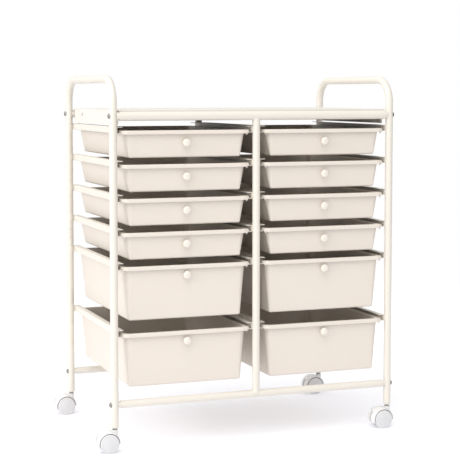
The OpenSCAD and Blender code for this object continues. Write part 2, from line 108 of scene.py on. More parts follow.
class ShelfSettings(bpy.types.PropertyGroup):
    resin: colour("Shelf resin", "Colour of the moulded shelf", "#DAD5CD")
    panel: length("Panel", "Thickness of the panel", 0.002)
    edge_height: length("Edge height", "Height of the raised edge round the panel", 0.001)
    edge_width: length("Edge width", "Width of the raised edge", 0.003)
    corner: length("Corner", "Corner radius of the panel and the skirt", 0.005)
    skirt: length("Skirt", "Thickness of the skirt and of the ribs", 0.002)
    skirt_in: length("Skirt set-back", "Distance from the panel's front edge to the front skirt", 0.011)
    end_rise: length("End rise", "How much higher the lower edge of the front and rear skirt is", 0.011)
    rib: length("Rib depth", "Depth of the ribs under the panel", 0.012)
    cross_ribs: IntProperty(name="Cross ribs", description="Ribs that run front to back", default=5, min=0)
    long_ribs: IntProperty(name="Long ribs", description="Ribs that run side to side", default=2, min=0)
    hole: length("Hole", "Diameter of the hole near the rear end of each side skirt", 0.008)
    hole_at: length("Hole place", "Distance of that hole behind the middle of the shelf", 0.1015)
    grain: length("Grain", "Size of the cells of the moulded grain", 0.0011)


class DrawerSettings(bpy.types.PropertyGroup):
    resin: colour("Drawer resin", "Colour of the moulded drawers", "#D8CFC4")
    wall: length("Wall", "Thickness of the walls and the floor", 0.0022)
    corner: length("Corner", "Corner radius of the bin and the rim, at the top", 0.016)
    small_foot: length("Small foot", "Corner radius at the foot of a small drawer", 0.0045)
    large_foot: length("Large foot", "Corner radius at the foot of a large drawer", 0.0055)
    floor_round: length("Floor round", "Radius between the walls and the floor, inside", 0.0018)
    rim_side: length("Side rim", "Width of the rim at each side, where it rides in the rail", 0.008)
    rim_end: length("End rim", "Width of the rim at the front and the rear", 0.0055)
    rim_height: length("Rim height", "Height of the rim's turned-down edge", 0.005)
    lip_height: length("Lip height", "Height of the turned-down edge across the front", 0.008)
    rim_round: length("Rim round", "Radius along the rim's inner upper edge", 0.0013)
    rim_crown: length("Rim crown", "Radius along the rim's outer upper edge", 0.0030)
    small_side_draft: length("Small side draft", "Inward slope of a small drawer's sides", 0.0125)
    large_side_draft: length("Large side draft", "Inward slope of a large drawer's sides", 0.011)
    small_end_draft: length("Small end draft", "Inward slope of a small drawer's front and rear", 0.0045)
    large_end_draft: length("Large end draft", "Inward slope of a large drawer's front and rear", 0.007)
    gusset: length("Gusset drop", "Drop of the gussets under the rim's front corners", 0.0065)
    gusset_thick: length("Gusset thickness", "Thickness of the gussets", 0.003)
    large_from: length("Large from", "Height from which a drawer counts as a large one", 0.08)


class KnobSettings(bpy.types.PropertyGroup):
    resin: colour("Knob resin", "Colour of the knobs", "#DDD6CB")
    head: length("Head", "Diameter of the head", 0.017)
    neck: length("Neck", "Diameter of the neck", 0.010)
    neck_long: length("Neck length", "Length of the neck", 0.005)
    edge: length("Edge", "Thickness of the head at its edge", 0.0056)
    dome: length("Dome", "Height of the dome on the head", 0.0014)
    small_drop: length("Small drop", "Drop of the knob below a small drawer's rim", 0.0253)
    large_drop: length("Large drop", "Drop of the knob below a large drawer's rim", 0.0205)
    screw_head: length("Screw head", "Diameter of the screw's head inside the drawer", 0.007)
    screw_height: length("Screw head height", "Height of the screw's head", 0.0022)
    recess: length("Cross recess", "Length of each arm pair of the screw's cross recess", 0.0038)


class FittingSettings(bpy.types.PropertyGroup):
    resin: colour("Fitting resin", "Colour of the saddles and the sockets", "#D8D3C8")
    zinc: colour("Zinc", "Colour of the plated bolts, screws, stems and axles", "#94918B")
    bolt_head: length("Bolt head", "Diameter of the button head of a frame bolt", 0.011)
    bolt_shank: length("Bolt shank", "Diameter of a frame bolt's shank", 0.006)
    bolt_socket: length("Bolt socket", "Width across the flats of the bolt's hexagon socket", 0.004)
    bolt_depth: length("Socket depth", "Depth of that socket", 0.0016)
    edge_round: length("Edge round", "Radius along the edges of the small fittings", 0.0003)


class CasterSettings(bpy.types.PropertyGroup):
    resin: colour("Hood resin", "Colour of the caster hoods", "#E0DFDE")
    tread: colour("Wheel resin", "Colour of the wheels", "#D2D1D1")
    edge: length("Hood edge", "Thickness of the hood at its edges", 0.0015)
    gap: length("Wheel gap", "Gap between the wheels and the hood", 0.0015)
    web: length("Web", "Thickness of the web between the wheels", 0.011)
    hub: length("Hub", "Diameter of the hubs and of the boss round the axle", 0.012)
    boss: length("Stem boss", "Diameter of the boss that holds the stem", 0.013)
    boss_deep: length("Boss depth", "Depth of the stem's bore in its boss", 0.020)
    slot: length("Slot", "Width of the slot down the rear of the hood", 0.007)
    slot_rise: turn("Slot rise", "Angle of the slot's upper end above the axle", 38)
    front_drop: turn("Front drop", "Angle that the hood's front end reaches below the axle", 4)
    rear_drop: turn("Rear drop", "Angle that the hood's rear end reaches below the axle", 20)
    stem: length("Stem", "Diameter of the steel stem", 0.008)
    trail: length("Trail", "Distance of the axle behind the swivel axis", 0.015)
    wall: length("Wheel wall", "Wall of a wheel's rim and face", 0.003)
    dome: length("Wheel dome", "Height of the dome on a wheel's outer face", 0.002)
    tread_round: length("Tread round", "Radius along the edges of the tread", 0.0015)
    axle: length("Axle", "Diameter of the axle", 0.004)


class StudioSettings(bpy.types.PropertyGroup):
    backdrop: colour("Backdrop", "Colour of the backdrop and of the light from all round", "#FFFFFF")
    paper: colour("Floor", "Colour of the floor", "#DFDFE5")
    towards: FloatVectorProperty(name="Towards the light", default=(-0.66, -0.30, 0.69), size=3,
                                 description="Direction of the brightest part of the studio",
                                 subtype="DIRECTION")
    bright: FloatProperty(name="Bright side", description="Strength of the light from that direction",
                          default=1.30, min=0)
    dim: FloatProperty(name="Dim side", description="Strength of the light from the opposite direction",
                       default=0.34, min=0)
    softbox: FloatProperty(name="Softbox", description="Power of the soft light over the front, in watts",
                           default=26, min=0, unit="POWER")
    side_light: FloatProperty(name="Side light", description="Power of the soft light at the left, in watts",
                              default=33, min=0, unit="POWER")
    glow: FloatProperty(name="Floor glow", description="Share of its own light in the floor's brightness",
                        default=0.31, min=0, max=1)
    lamp: length("Lamp", "Diameter of both soft lights", 1.8)
    fade_from: length("Fade start", "Distance from the middle at which the floor starts to fade out", 0.9)
    fade_to: length("Fade end", "Distance from the middle at which the floor has faded out", 3.0)
    lens: FloatProperty(name="Lens", description="Focal length of the camera, in millimetres", default=107.66)
    pitch: turn("Pitch", "Angle that the camera looks down", 4.149)
    swing: turn("Swing", "Angle that the camera looks to the right of straight ahead", 20.480)


GROUPS = {"cart_frame": FrameSettings, "cart_shelf": ShelfSettings, "cart_drawers": DrawerSettings,
          "cart_knobs": KnobSettings, "cart_fittings": FittingSettings, "cart_casters": CasterSettings,
          "cart_studio": StudioSettings}


# Materials


def add_node(tree, kind, inputs=None, **settings):
    """Adds a shader node, sets it up, and fills its inputs with values or with links from other nodes."""
    node = tree.nodes.new(kind)
    for key, value in settings.items():
        setattr(node, key, value)
    for key, value in (inputs or {}).items():
        if isinstance(value, bpy.types.NodeSocket):
            tree.links.new(value, node.inputs[key])
        else:
            node.inputs[key].default_value = value
    return node


def start_material(name, tone, roughness, metallic=0.0):
    """A new material with one Principled shader and Object coordinates, or an existing one by itself."""
    material = bpy.data.materials.get(name)
    if material:
        return material, None, None, None
    material = bpy.data.materials.new(name)
    material.use_nodes = True
    tree = material.node_tree
    tree.nodes.clear()
    shader = add_node(tree, "ShaderNodeBsdfPrincipled",
                      {"Base Color": (*tone, 1), "Roughness": roughness, "Metallic": metallic})
    add_node(tree, "ShaderNodeOutputMaterial", {"Surface": shader.outputs[0]})
    place = add_node(tree, "ShaderNodeTexCoord").outputs["Object"]
    return material, tree, shader, place


def vary_tone(tree, shader, place, tone, spread, size):
    """Cloudy variation of a base colour, over patches of a real size."""
    cloud = add_node(tree, "ShaderNodeTexNoise", {"Vector": place, "Scale": 1 / size, "Detail": 2.0})
    dark = tuple(c * (1 - spread) for c in tone)
    # A Mix node has inputs of every type under the same names, so its colour inputs are given by place
    ramp = add_node(tree, "ShaderNodeMix", {0: cloud.outputs[0], 6: (*dark, 1), 7: (*tone, 1)},
                    data_type="RGBA")
    tree.links.new(ramp.outputs[2], shader.inputs["Base Color"])


def vary_gloss(tree, shader, place, low, high, size):
    """Roughness that drifts between two values, over patches of a real size."""
    cloud = add_node(tree, "ShaderNodeTexNoise", {"Vector": place, "Scale": 1 / size, "Detail": 3.0})
    span = add_node(tree, "ShaderNodeMapRange", {"Value": cloud.outputs[0], "From Min": 0.3, "From Max": 0.7,
                                                 "To Min": low, "To Max": high})
    tree.links.new(span.outputs[0], shader.inputs["Roughness"])


def add_relief(tree, shader, place, size, depth, strength, detail, roughness=0.5):
    """Cloudy relief of a real grain size and depth, laid over the relief that the surface already has."""
    cloud = add_node(tree, "ShaderNodeTexNoise", {"Vector": place, "Scale": 1 / size, "Detail": detail,
                                                  "Roughness": roughness})
    inputs = {"Height": cloud.outputs[0], "Strength": strength, "Distance": depth}
    for link in shader.inputs["Normal"].links:
        inputs["Normal"] = link.from_socket
    relief = add_node(tree, "ShaderNodeBump", inputs)
    tree.links.new(relief.outputs[0], shader.inputs["Normal"])


def powder_coated_steel(settings):
    """Steel tube and strip with a baked powder coat: a soft gloss over a fine orange-peel ripple."""
    tone = tuple(settings.paint)
    material, tree, shader, place = start_material("powder_coated_steel", tone, 0.36)
    if tree:
        shader.inputs["Coat Weight"].default_value = 0.15
        shader.inputs["Coat Roughness"].default_value = 0.2
        vary_tone(tree, shader, place, tone, spread=0.03, size=0.05)
        vary_gloss(tree, shader, place, low=0.3, high=0.42, size=0.012)
        add_relief(tree, shader, place, settings.peel, 0.00012, strength=0.25, detail=1.5, roughness=0.4)
    return material


def moulded_polypropylene(name, tone, grain, depth):
    """Injection-moulded polypropylene: a satin skin with fine grain, and broad waves where it shrank."""
    material, tree, shader, place = start_material(name, tone, 0.45)
    if tree:
        shader.inputs["Specular IOR Level"].default_value = 0.45
        vary_tone(tree, shader, place, tone, spread=0.025, size=0.06)
        vary_gloss(tree, shader, place, low=0.4, high=0.52, size=0.02)
        add_relief(tree, shader, place, 0.035, 0.0009, strength=0.5, detail=1.0, roughness=0.3)
        add_relief(tree, shader, place, grain, depth, strength=0.35, detail=2.5, roughness=0.6)
    return material


def leather_grain_polypropylene(settings):
    """Injection-moulded polypropylene with a shallow leather grain, as a shelf has against scratches."""
    tone = tuple(settings.resin)
    material, tree, shader, place = start_material("leather_grain_polypropylene", tone, 0.5)
    if tree:
        vary_tone(tree, shader, place, tone, spread=0.03, size=0.08)
        vary_gloss(tree, shader, place, low=0.42, high=0.56, size=0.03)
        bend = add_node(tree, "ShaderNodeTexNoise", {"Vector": place, "Scale": 1 / 0.004, "Detail": 2.0})
        drift = add_node(tree, "ShaderNodeVectorMath", {0: bend.outputs["Color"], "Scale": 0.0012},
                         operation="SCALE")
        moved = add_node(tree, "ShaderNodeVectorMath", {0: place, 1: drift.outputs[0]}, operation="ADD")
        cells = add_node(tree, "ShaderNodeTexVoronoi",
                         {"Vector": moved.outputs[0], "Scale": 1 / settings.grain},
                         feature="DISTANCE_TO_EDGE")
        top = add_node(tree, "ShaderNodeMapRange",
                       {"Value": cells.outputs[0], "From Min": 0.0, "From Max": 0.22},
                       interpolation_type="SMOOTHSTEP")
        relief = add_node(tree, "ShaderNodeBump",
                          {"Height": top.outputs[0], "Strength": 0.4, "Distance": 0.00012})
        tree.links.new(relief.outputs[0], shader.inputs["Normal"])
    return material


def polished_abs(settings):
    """Polished ABS knob: a clear gloss with hardly any texture."""
    tone = tuple(settings.resin)
    material, tree, shader, place = start_material("polished_abs", tone, 0.22)
    if tree:
        vary_gloss(tree, shader, place, low=0.16, high=0.3, size=0.006)
        add_relief(tree, shader, place, 0.004, 0.0001, strength=0.15, detail=1.0)
    return material


def moulded_nylon(name, tone):
    """Glass-filled nylon, moulded: a smooth eggshell skin, with slightly duller patches where it flowed."""
    material, tree, shader, place = start_material(name, tone, 0.38)
    if tree:
        vary_tone(tree, shader, place, tone, spread=0.04, size=0.012)
        vary_gloss(tree, shader, place, low=0.3, high=0.46, size=0.006)
        add_relief(tree, shader, place, 0.0009, 0.00006, strength=0.3, detail=2.0)
    return material


def rolled_polyurethane(tone):
    """Hard polyurethane wheel: a dull satin that has scuffed lightly where it rolls."""
    material, tree, shader, place = start_material("rolled_polyurethane", tone, 0.5)
    if tree:
        vary_tone(tree, shader, place, tone, spread=0.07, size=0.009)
        vary_gloss(tree, shader, place, low=0.42, high=0.62, size=0.004)
        add_relief(tree, shader, place, 0.0007, 0.00008, strength=0.3, detail=3.0, roughness=0.6)
    return material


def zinc_plated_steel(tone):
    """Zinc plate on turned steel: a cool soft mirror, broken up by the faint spangle of the plating."""
    material, tree, shader, place = start_material("zinc_plated_steel", tone, 0.3, 1.0)
    if tree:
        vary_gloss(tree, shader, place, low=0.22, high=0.4, size=0.0015)
        plate = add_node(tree, "ShaderNodeTexVoronoi", {"Vector": place, "Scale": 1 / 0.0012})
        relief = add_node(tree, "ShaderNodeBump",
                          {"Height": plate.outputs[0], "Strength": 0.12, "Distance": 0.00005})
        tree.links.new(relief.outputs[0], shader.inputs["Normal"])
    return material


# Mesh helpers


def bevel(bm, edges, radius, segments=3):
    """Rounds edges to a radius."""
    return bmesh.ops.bevel(bm, geom=list(edges), offset=radius, offset_type="OFFSET", affect="EDGES",
                           segments=segments, profile=0.5, material=-1, clamp_overlap=True)


def sharp_edges(bm, degrees=50):
    """The edges whose two faces meet at more than an angle."""
    return [e for e in bm.edges if len(e.link_faces) == 2 and e.calc_face_angle() > math.radians(degrees)]


def upright_edges(bm, longer_than):
    """The edges that rise by more than a height."""
    return [e for e in bm.edges if abs(e.verts[0].co.z - e.verts[1].co.z) > longer_than]


def block(low, high, radius=0.0, segments=2):
    """A box between two corners, with its edges rounded."""
    bm = bmesh.new()
    bmesh.ops.create_cube(bm, size=1)
    low, high = Vector(low), Vector(high)
    bmesh.ops.scale(bm, vec=high - low, verts=bm.verts)
    bmesh.ops.translate(bm, vec=(low + high) / 2, verts=bm.verts)
    if radius:
        bevel(bm, bm.edges[:], radius, segments)
    return bm


def lathe(profile, steps=48):
    """Spins (radius, height, rounding) points about Z, and rounds each ring by its rounding."""
    bm = bmesh.new()
    verts = [bm.verts.new((radius, 0, height)) for radius, height, _ in profile]
    edges = [bm.edges.new(pair) for pair in zip(verts, verts[1:])]
    bmesh.ops.spin(bm, geom=verts + edges, cent=(0, 0, 0), axis=(0, 0, 1), angle=math.tau, steps=steps,
                   use_merge=True)
    bmesh.ops.remove_doubles(bm, verts=bm.verts, dist=1e-6)
    bmesh.ops.recalc_face_normals(bm, faces=bm.faces)
    for radius, height, rounding in profile:
        if rounding:
            ring = [e for e in bm.edges
                    if all(abs(math.hypot(v.co.x, v.co.y) - radius) < 1e-6 and abs(v.co.z - height) < 1e-6
                           for v in e.verts)]
            bevel(bm, ring, rounding, 4)
    return bm


def rod(radius, low, high, steps, low_round=0, high_round=0):
    """A round bar about Z, with its two rims rounded."""
    return lathe([(0, low, 0), (radius, low, low_round), (radius, high, high_round), (0, high, 0)], steps)


def sweep(points, degrees, steps, from_degrees=0):
    """Swings a closed (radius, across) outline about Y, from +X up over +Z, into a closed solid."""
    bm = bmesh.new()
    face = bm.faces.new([bm.verts.new((radius, across, 0)) for radius, across in points])
    bmesh.ops.rotate(bm, cent=(0, 0, 0), verts=bm.verts,
                     matrix=Matrix.Rotation(-math.radians(from_degrees), 3, "Y"))
    bmesh.ops.spin(bm, geom=[face, *face.edges, *face.verts], cent=(0, 0, 0), axis=(0, -1, 0),
                   angle=math.radians(degrees), steps=steps)
    bmesh.ops.remove_doubles(bm, verts=bm.verts, dist=1e-6)
    bmesh.ops.dissolve_degenerate(bm, dist=1e-6, edges=bm.edges)
    bmesh.ops.recalc_face_normals(bm, faces=bm.faces)
    return bm


def join(target, *parts):
    """Adds the meshes of other bmeshes to one."""
    for part in parts:
        mesh = bpy.data.meshes.new("part")
        part.to_mesh(mesh)
        part.free()
        target.from_mesh(mesh)
        bpy.data.meshes.remove(mesh)
    return target


def combine(bm, other, operation):
    """Joins two closed shapes into one skin (UNION), or cuts the second out of the first (DIFFERENCE)."""
    blanks = []
    for part in (bm, other):
        mesh = bpy.data.meshes.new("blank")
        part.to_mesh(mesh)
        part.free()
        blanks.append(bpy.data.objects.new("blank", mesh))
        bpy.context.scene.collection.objects.link(blanks[-1])
    cut = blanks[0].modifiers.new("cut", "BOOLEAN")
    cut.object, cut.operation, cut.solver = blanks[1], operation, "EXACT"
    mesh = bpy.data.meshes.new_from_object(blanks[0].evaluated_get(bpy.context.evaluated_depsgraph_get()))
    result = bmesh.new()
    result.from_mesh(mesh)
    used = [mesh] + [blank.data for blank in blanks]
    for blank in blanks:
        bpy.data.objects.remove(blank)
    for mesh in used:
        bpy.data.meshes.remove(mesh)
    bmesh.ops.remove_doubles(result, verts=result.verts, dist=1e-6)
    return result


def copied(bm, matrix):
    """A moved copy of a shape, turned right side out if the move mirrors it."""
    copy = bm.copy()
    bmesh.ops.transform(copy, matrix=matrix, verts=copy.verts)
    if matrix.determinant() < 0:
        bmesh.ops.reverse_faces(copy, faces=copy.faces[:])
    return copy


def rounded_node(node, radius):
    """A merged copy of a CAD node's mesh, with its sharp edges rounded."""
    bm = bmesh.new()
    bm.from_mesh(NODES[node].data)
    bmesh.ops.remove_doubles(bm, verts=bm.verts, dist=1e-6)
    bmesh.ops.dissolve_limit(bm, angle_limit=math.radians(1), verts=bm.verts, edges=bm.edges)
    bevel(bm, sharp_edges(bm), radius, 2)
    return bm


def fit_corners(verts, half, radius, new_half, new_radius):
    """Takes a ring with round corners to another size and another corner radius."""
    for v in verts:
        for axis in (0, 1):
            side = math.copysign(1, v.co[axis])
            offset = v.co[axis] - side * (half[axis] - radius)
            v.co[axis] = side * (new_half[axis] - new_radius) + offset * new_radius / radius


def finish_piece(bm, name, material, body, slot, *nodes):
    """Makes a smooth object of a bmesh. It rides on a body and stands for the CAD nodes named."""
    mesh = bpy.data.meshes.new(name)
    bm.to_mesh(mesh)
    bm.free()
    mesh.shade_smooth()
    mesh.set_sharp_from_angle(angle=math.radians(40))
    mesh.materials.append(material)
    piece = bpy.data.objects.new(name, mesh)
    bpy.context.scene.collection.objects.link(piece)
    flats = piece.modifiers.new("flat_faces", "WEIGHTED_NORMAL")
    flats.keep_sharp = True
    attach(piece, body)
    if nodes:
        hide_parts(*nodes)
    return piece


def centre_of(node):
    """The middle of a CAD node's box."""
    low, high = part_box(node)
    return (low + high) / 2


# Pieces


class CART_OT_finish_frame(bpy.types.Operator):
    """Powder-coat the tubes and the rails"""
    bl_idname = "cart.finish_frame"
    bl_label = "Finish frame"

    def execute(self, context):
        settings = context.scene.cart_frame
        coat = powder_coated_steel(settings)
        for node in PAINTED:
            NODES[node].data.materials.clear()
            NODES[node].data.materials.append(coat)
        return {"FINISHED"}


class CART_OT_lay_welds(bpy.types.Operator):
    """Lay the weld beads between the rails and the posts, and the seams round the ends of the centre posts"""
    bl_idname = "cart.lay_welds"
    bl_label = "Lay welds"

    def execute(self, context):
        s = context.scene.cart_frame
        coat = powder_coated_steel(s)
        low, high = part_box("center_front_post")
        post_r = (high.x - low.x) / 2
        rail_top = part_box("left_rails")[1].z
        rim_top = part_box("left_drawer_1")[1].z
        steps = round(s.bead_long / s.bead)
        # Every second ring of a bead is thinner, which gives it the ripples of a weld
        ripple = [(s.bead * (1 if i % 2 else 0.88), s.bead_long * (i / steps - 0.5), 0)
                  for i in range(steps + 1)]
        tip = (s.bead_long + s.bead) / 2
        bead = lathe([(0, -tip, 0), *ripple, (0, tip, 0)], steps=10)
        beads = bmesh.new()
        for name, facings in (("left", (1,)), ("center", (-1, 1)), ("right", (-1,))):
            for end in ("front", "back"):
                post = centre_of(f"{name}_{end}_post")
                inward = -math.copysign(1, post.y)
                for facing in facings:
                    for level in LEVELS:
                        drop = rim_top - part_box(f"left_drawer_{level}")[1].z
                        place = Vector((post.x + facing * (post_r - s.bead * 0.6),
                                        post.y + inward * s.bead_in, rail_top - drop - s.bead_long * 0.7))
                        join(beads, copied(bead, Matrix.Translation(place)))
        bead.free()
        finish_piece(beads, "rail_welds", coat, "frame", "frame_paint")
        seams = bmesh.new()
        ripples, ripple_deep = 36, 0.012
        for end in ("front", "back"):
            for bar, way in (("top", -1), ("bottom", 1)):
                bar_low, bar_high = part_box(f"{end}_{bar}_bar")
                bar_r, middle = (bar_high.z - bar_low.z) / 2, centre_of(f"{end}_{bar}_bar")
                seam = bmesh.new()
                bmesh.ops.create_circle(seam, segments=8, radius=s.seam)
                bmesh.ops.rotate(seam, cent=(0, 0, 0), matrix=Matrix.Rotation(math.radians(90), 3, "X"),
                                 verts=seam.verts)
                bmesh.ops.translate(seam, vec=(post_r, 0, 0), verts=seam.verts)
                bmesh.ops.spin(seam, geom=seam.verts[:] + seam.edges[:], cent=(0, 0, 0), axis=(0, 0, 1),
                               angle=math.tau, steps=2 * ripples, use_merge=True)
                bmesh.ops.remove_doubles(seam, verts=seam.verts, dist=1e-6)
                bmesh.ops.recalc_face_normals(seam, faces=seam.faces)
                for v in seam.verts:
                    swell = 1 + ripple_deep * math.sin(ripples * math.atan2(v.co.y, v.co.x))
                    v.co.x *= swell
                    v.co.y *= swell
                    v.co.z += way * math.sqrt(max(bar_r ** 2 - v.co.y ** 2, 0))
                bmesh.ops.translate(seam, vec=(centre_of(f"center_{end}_post").x, middle.y, middle.z),
                                    verts=seam.verts)
                join(seams, seam)
        finish_piece(seams, "post_seams", coat, "frame", "frame_paint")
        return {"FINISHED"}


class CART_OT_build_shelf(bpy.types.Operator):
    """Mould the top shelf: a panel with a raised edge, a skirt between the bars, and ribs beneath"""
    bl_idname = "cart.build_shelf"
    bl_label = "Build shelf"

    def execute(self, context):
        s = context.scene.cart_shelf
        low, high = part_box("top_shelf")
        resin = leather_grain_polypropylene(s)
        under = high.z - s.edge_height - s.panel
        # The skirt and the ribs reach into the panel
        root = under + s.panel / 4
        panel = block((low.x, low.y, under), high)
        bevel(panel, upright_edges(panel, s.panel / 2), s.corner, segments=6)
        top = max(panel.faces, key=lambda f: f.calc_center_median().z)
        bmesh.ops.inset_region(panel, faces=[top], thickness=s.edge_width, use_even_offset=True)
        bmesh.ops.translate(panel, vec=(0, 0, -s.edge_height), verts=top.verts)
        bevel(panel, sharp_edges(panel, degrees=15), s.edge_height * 0.42)
        skirt_low = (low.x, low.y + s.skirt_in, low.z)
        skirt_high = (high.x, high.y - s.skirt_in, root)
        skirt = block(skirt_low, skirt_high)
        bevel(skirt, upright_edges(skirt, s.panel), s.corner, segments=6)
        bmesh.ops.delete(skirt, geom=[f for f in skirt.faces if abs(f.normal.z) > 0.9], context="FACES_ONLY")
        for v in skirt.verts:
            on_end = v.co.y < skirt_low[1] + 1e-5 or v.co.y > skirt_high[1] - 1e-5
            if on_end and v.co.z < under - s.rib:
                v.co.z += s.end_rise
        bmesh.ops.solidify(skirt, geom=skirt.faces[:], thickness=s.skirt)
        bevel(skirt, sharp_edges(skirt), s.skirt * 0.2, segments=2)
        drill = rod(s.hole / 2, low.x - s.skirt, high.x + s.skirt, steps=32)
        bar = centre_of("back_top_bar")
        bmesh.ops.transform(drill, verts=drill.verts, matrix=Matrix.Translation((0, s.hole_at, bar.z))
                            @ Matrix.Rotation(math.radians(90), 4, "Y"))
        skirt = combine(skirt, drill, "DIFFERENCE")
        ribs = []
        inner = [(skirt_low[axis] + s.skirt, skirt_high[axis] - s.skirt) for axis in (0, 1)]
        for axis, count in ((0, s.cross_ribs), (1, s.long_ribs)):
            for i in range(1, count + 1):
                place = inner[axis][0] + (inner[axis][1] - inner[axis][0]) * i / (count + 1)
                rib_low = [inner[0][0], inner[1][0], under - s.rib]
                rib_high = [inner[0][1], inner[1][1], root]
                rib_low[axis] = place - s.skirt * 0.45
                rib_high[axis] = place + s.skirt * 0.45
                ribs.append(block(rib_low, rib_high, s.skirt * 0.15))
        shelf = join(panel, skirt, *ribs)
        finish_piece(shelf, "moulded_shelf", resin, "frame", "shelf_plastic", "top_shelf")
        return {"FINISHED"}


def shape_drawer(low, high, s):
    """One moulded bin: drafted walls whose corners tighten downwards, and a rim turned down all round."""
    height = high.z - low.z
    if height > s.large_from:
        side_draft, end_draft, foot = s.large_side_draft, s.large_end_draft, s.large_foot
    else:
        side_draft, end_draft, foot = s.small_side_draft, s.small_end_draft, s.small_foot
    half = (high.x - low.x) / 2, (high.y - low.y) / 2
    top = half[0] - s.rim_side - s.wall, half[1] - s.rim_end - s.wall
    share = 1 - s.wall / height
    base = top[0] - side_draft * share, top[1] - end_draft * share
    inner_r = s.corner - s.wall
    bm = bmesh.new()
    bmesh.ops.create_cube(bm, size=2)
    for v in bm.verts:
        v.co = v.co.x * top[0], v.co.y * top[1], low.z + s.wall if v.co.z < 0 else high.z
    bevel(bm, upright_edges(bm, s.corner), inner_r, segments=8)
    fit_corners([v for v in bm.verts if v.co.z < high.z - height / 2], top, inner_r, base, foot - s.wall)
    floor = min(bm.faces, key=lambda f: f.calc_center_median().z)
    bevel(bm, floor.edges[:], s.floor_round, segments=4)
    roof = max(bm.faces, key=lambda f: f.calc_center_median().z)
    inner = roof.edges[:]
    bmesh.ops.delete(bm, geom=[roof], context="FACES_ONLY")
    bmesh.ops.reverse_faces(bm, faces=bm.faces[:])
    flange = bmesh.ops.extrude_edge_only(bm, edges=inner)["geom"]
    ring = {v for v in flange if isinstance(v, bmesh.types.BMVert)}
    fit_corners(ring, top, inner_r, half, s.corner)
    outer = [e for e in bm.edges if e.verts[0] in ring and e.verts[1] in ring]
    hem = bmesh.ops.extrude_edge_only(bm, edges=outer)["geom"]
    lip_deep = s.rim_end + s.wall / 2
    for v in hem:
        if isinstance(v, bmesh.types.BMVert):
            # The edge grows smoothly from the rim's height to the lip's, towards the front
            near = min(max(1 - (v.co.y + half[1]) / lip_deep, 0), 1)
            v.co.z -= s.rim_height + (s.lip_height - s.rim_height) * near * near * (3 - 2 * near)
    bevel(bm, inner, s.rim_round, segments=4)
    bevel(bm, outer, s.rim_crown, segments=6)
    bmesh.ops.solidify(bm, geom=bm.faces[:], thickness=s.wall)
    bevel(bm, sharp_edges(bm), s.wall * 0.2, segments=2)
    under_rim = high.z - s.wall * 0.8
    rim_low = high.z - s.rim_height
    for side in (-1, 1):
        fin = bmesh.new()
        wall_x, tip_x = top[0] + s.wall * 0.6, half[0] - s.wall * 1.2
        points = [(wall_x, under_rim), (tip_x, under_rim), (tip_x, rim_low),
                  (wall_x + s.wall * 0.4, rim_low - s.gusset), (wall_x, rim_low - s.gusset)]
        front = s.rim_end - half[1] - s.wall * 0.2
        face = fin.faces.new([fin.verts.new((side * x, front, z)) for x, z in points])
        grown = bmesh.ops.extrude_face_region(fin, geom=[face])["geom"]
        bmesh.ops.translate(fin, vec=(0, s.gusset_thick, 0),
                            verts=[v for v in grown if isinstance(v, bmesh.types.BMVert)])
        bmesh.ops.recalc_face_normals(fin, faces=fin.faces)
        bevel(fin, sharp_edges(fin, degrees=20), s.wall * 0.18, segments=2)
        join(bm, fin)
    bmesh.ops.translate(bm, vec=((low.x + high.x) / 2, (low.y + high.y) / 2, 0), verts=bm.verts)
    return bm


class CART_OT_build_drawers(bpy.types.Operator):
    """Mould the twelve drawers"""
    bl_idname = "cart.build_drawers"
    bl_label = "Build drawers"

    def execute(self, context):
        s = context.scene.cart_drawers
        resin = moulded_polypropylene("moulded_polypropylene", tuple(s.resin), grain=0.0009, depth=0.00007)
        for side in SIDES:
            for level in LEVELS:
                node = f"{side}_drawer_{level}"
                finish_piece(shape_drawer(*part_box(node), s), f"{side}_bin_{level}", resin, node,
                             "drawer_plastic", node)
        return {"FINISHED"}


class CART_OT_build_knobs(bpy.types.Operator):
    """Turn the knobs, with the screws that hold them from inside the drawers"""
    bl_idname = "cart.build_knobs"
    bl_label = "Build knobs"

    def execute(self, context):
        s, d = context.scene.cart_knobs, context.scene.cart_drawers
        resin = polished_abs(s)
        zinc = zinc_plated_steel(tuple(context.scene.cart_fittings.zinc))
        head, neck = s.head / 2, s.neck / 2
        face = s.neck_long + s.edge
        cap, under = s.screw_head / 2, -d.wall + 0.0002
        crown = -d.wall - s.screw_height
        soft = s.screw_height * 0.2
        screw = lathe([(0, under, 0), (cap, under, 0), (cap, crown + s.screw_height * 0.5, soft),
                       (cap * 0.62, crown, soft), (0, crown, 0)], steps=32)
        arm = s.recess / 2
        for x, y in ((arm, arm / 4), (arm / 4, arm)):
            cross = block((-x, -y, crown - arm), (x, y, crown + s.screw_height * 0.55))
            screw = combine(screw, cross, "DIFFERENCE")
        for side in SIDES:
            for level in LEVELS:
                drawer, node = f"{side}_drawer_{level}", f"{side}_knob_{level}"
                low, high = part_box(drawer)
                large = high.z - low.z > d.large_from
                drop = s.large_drop if large else s.small_drop
                draft = d.large_end_draft if large else d.small_end_draft
                slope = draft / (high.z - low.z)
                seat = Vector((centre_of(node).x, low.y + d.rim_end + slope * drop, high.z - drop))
                lean = math.radians(90) + math.atan(slope)
                stand = Matrix.Translation(seat) @ Matrix.Rotation(lean, 4, "X")
                knob = lathe([(0, 0.0001, 0), (neck * 1.08, 0.0001, 0), (neck, 0.0009, 0),
                              (neck, s.neck_long, s.edge * 0.14), (head, s.neck_long, s.edge * 0.4),
                              (head, face, s.edge * 0.46), (head * 0.55, face + s.dome * 0.7, 0.001),
                              (head * 0.28, face + s.dome * 0.95, 0.0008), (0, face + s.dome, 0)])
                bmesh.ops.transform(knob, matrix=stand, verts=knob.verts)
                finish_piece(knob, f"{side}_turned_knob_{level}", resin, drawer, "knob_plastic", node)
                finish_piece(copied(screw, stand), f"{side}_knob_screw_{level}", zinc, drawer, "steel", node)
        screw.free()
        return {"FINISHED"}


